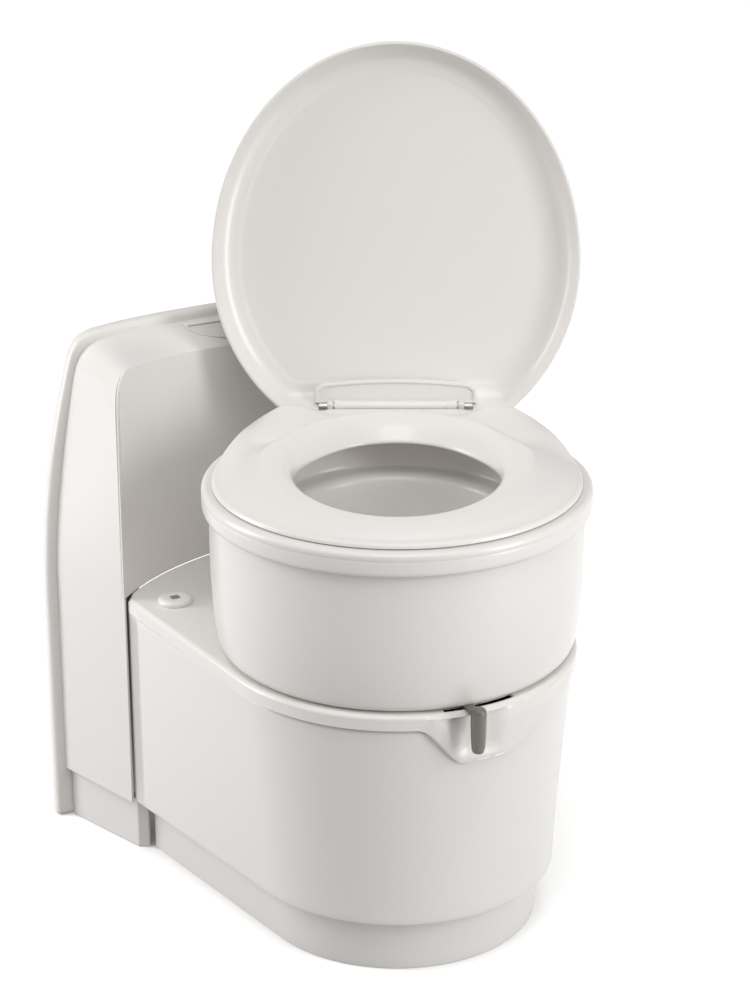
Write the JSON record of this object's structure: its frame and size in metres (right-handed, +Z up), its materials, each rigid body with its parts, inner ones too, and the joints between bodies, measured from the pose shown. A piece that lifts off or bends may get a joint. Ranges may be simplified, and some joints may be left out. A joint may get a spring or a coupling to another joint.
{
  "type": "cassette toilet",
  "caption": "Caravan cassette toilet: a swivelling round bowl with seat and lid on a round-fronted base, a wall console behind it, and a slide-out waste cassette below.",
  "frame": {"origin": "on the floor, below the bowl's swivel axis", "axes": "+Z up, +Y towards the wall behind the console, +X to the right of someone who faces the wall"},
  "size_m": [0.5389, 0.5606, 0.869],
  "materials": {
    "white_shell": "glossy white moulding",
    "white_fitting": "satin white moulding",
    "grey_pan": "satin grey moulding",
    "taupe_lever": "dark taupe, softly glossy",
    "dark_tank": "blow-moulded dark grey",
    "black_plastic": "satin black",
    "red_plastic": "red touch point",
    "black_rubber": "matt black",
    "grey_rubber": "pale grey, soft",
    "steel": "plain steel",
    "blue_hose": "blue water hose",
    "green_board": "lacquered board",
    "green_flag": "green flag",
    "yellow_float": "foam float",
    "clear_window": "clear",
    "dark_lens": "smoked lens"
  },
  "bodies": {
    "base": {"base_floor_pan": "grey_pan", "base_plinth": "white_shell", "base_housing": "white_shell", "base_top_cover": "white_shell", "turntable_ring": "grey_pan", "console_housing": "white_shell", "console_flange": "white_shell", "console_plinth_left": "white_shell", "console_plinth_right": "white_shell", "control_panel_bezel": "white_shell", "control_panel_plate": "white_shell", "status_lens": "dark_lens", "control_board": "green_board", "level_indicator_bezel": "white_shell", "level_window": "clear_window", "water_inlet_valve": "black_plastic", "water_hose": "blue_hose", "floor_screw_left": "steel", "floor_screw_right": "steel", "guide_rail_left": "grey_pan", "guide_rail_right": "grey_pan"},
    "flush_button": {"flush_button": "white_shell"},
    "level_flag": {"level_flag": "green_flag"},
    "bowl": {"drum_shell": "white_shell", "toilet_bowl": "white_shell", "bowl_neck_seal": "black_rubber", "flush_nozzle": "white_fitting", "hinge_bracket": "white_fitting", "hinge_pin_left": "steel", "hinge_pin_right": "steel"},
    "seat": {"seat_ring": "white_shell", "seat_hinge_arm_left": "white_fitting", "seat_hinge_arm_right": "white_fitting", "seat_buffer_front_left": "grey_rubber", "seat_buffer_front_right": "grey_rubber", "seat_buffer_rear_left": "grey_rubber", "seat_buffer_rear_right": "grey_rubber"},
    "lid": {"lid_shell": "white_shell", "hinge_cover": "white_shell", "lid_hinge_arm_left": "white_fitting", "lid_hinge_arm_right": "white_fitting", "lid_buffer_left": "grey_rubber", "lid_buffer_right": "grey_rubber"},
    "lever": {"lever_arm": "taupe_lever", "lever_knob": "taupe_lever"},
    "cassette": {"waste_tank": "dark_tank", "blade_housing": "black_plastic", "cassette_lip_seal": "black_rubber", "wheel_axle": "steel"},
    "blade": {"valve_blade": "black_plastic"},
    "float": {"level_float": "yellow_float"},
    "wheel_left": {"cassette_wheel_left": "black_plastic"},
    "wheel_right": {"cassette_wheel_right": "black_plastic"},
    "cover": {"sliding_cover": "dark_tank"},
    "spout": {"pour_spout": "dark_tank"},
    "cap": {"spout_cap": "black_plastic"},
    "vent": {"vent_button": "red_plastic"},
    "grip": {"carry_grip": "black_plastic"},
    "latch": {"cassette_latch": "red_plastic"}
  },
  "joints": [
    {"name": "bowl_swivel", "type": "hinge", "parent": "base", "child": "bowl", "pos_m": [0, 0, 0.303], "axis": [0, 0, 1], "range_deg": [-63, 117]},
    {"name": "seat_hinge", "type": "hinge", "parent": "bowl", "child": "seat", "pos_m": [0.08626, 0.16929, 0.49], "axis": [0.891, -0.454, 0], "range_deg": [-98, 0]},
    {"name": "lid_hinge", "type": "hinge", "parent": "bowl", "child": "lid", "pos_m": [0.08626, 0.16929, 0.49], "axis": [0.891, -0.454, 0], "range_deg": [-7, 101]},
    {"name": "lever_turn", "type": "hinge", "parent": "base", "child": "lever", "pos_m": [0, 0, 0.29], "axis": [0, 0, 1], "range_deg": [-5.5, 14.5]},
    {"name": "blade_turn", "type": "hinge", "parent": "cassette", "child": "blade", "pos_m": [0.075, 0.03, 0.262], "axis": [0, 0, 1], "range_deg": [-48, 18.2]},
    {"name": "float_rise", "type": "hinge", "parent": "cassette", "child": "float", "pos_m": [-0.06, 0.17, 0.18], "axis": [-1, 0, 0], "range_deg": [0, 35]},
    {"name": "flag_slide", "type": "slide", "parent": "base", "child": "level_flag", "axis": [-1, 0, 0], "range_m": [0, 0.0101]},
    {"name": "flush_press", "type": "slide", "parent": "base", "child": "flush_button", "axis": [0, 0.6428, -0.766], "range_m": [0, 0.003], "stiffness_N_per_m": 400},
    {"name": "vent_press", "type": "slide", "parent": "cassette", "child": "vent", "axis": [0, 0, -1], "range_m": [0, 0.004], "stiffness_N_per_m": 500},
    {"name": "cassette_slide", "type": "slide", "parent": "base", "child": "cassette", "axis": [0, 1, 0], "range_m": [0, 0.45]},
    {"name": "cover_slide", "type": "slide", "parent": "cassette", "child": "cover", "axis": [0, -1, 0], "range_m": [0, 0.095]},
    {"name": "spout_swivel", "type": "hinge", "parent": "cassette", "child": "spout", "pos_m": [0.095, 0.264, 0.23], "axis": [0, 0, -1], "range_deg": [0, 90]},
    {"name": "cap_turn", "type": "hinge", "parent": "spout", "child": "cap", "pos_m": [-0.05, 0.264, 0.2445], "axis": [-1, 0, 0], "range_deg": [0, 270]},
    {"name": "wheel_left_spin", "type": "hinge", "parent": "cassette", "child": "wheel_left", "pos_m": [-0.07, 0.292, 0.0465], "axis": [1, 0, 0], "continuous": true},
    {"name": "wheel_right_spin", "type": "hinge", "parent": "cassette", "child": "wheel_right", "pos_m": [0.07, 0.292, 0.0465], "axis": [1, 0, 0], "continuous": true},
    {"name": "grip_fold", "type": "hinge", "parent": "cassette", "child": "grip", "pos_m": [0, 0.3295, 0.15], "axis": [1, 0, 0], "range_deg": [0, 90]},
    {"name": "latch_lift", "type": "hinge", "parent": "base", "child": "latch", "pos_m": [0, 0.295, 0.015], "axis": [1, 0, 0], "range_deg": [0, 12]}
  ],
  "couplings": [
    {"joint": "blade_turn", "follows": "lever_turn", "ratio": -3.3},
    {"joint": "flag_slide", "follows": "float_rise", "m_per_rad": 0.01637}
  ]
}
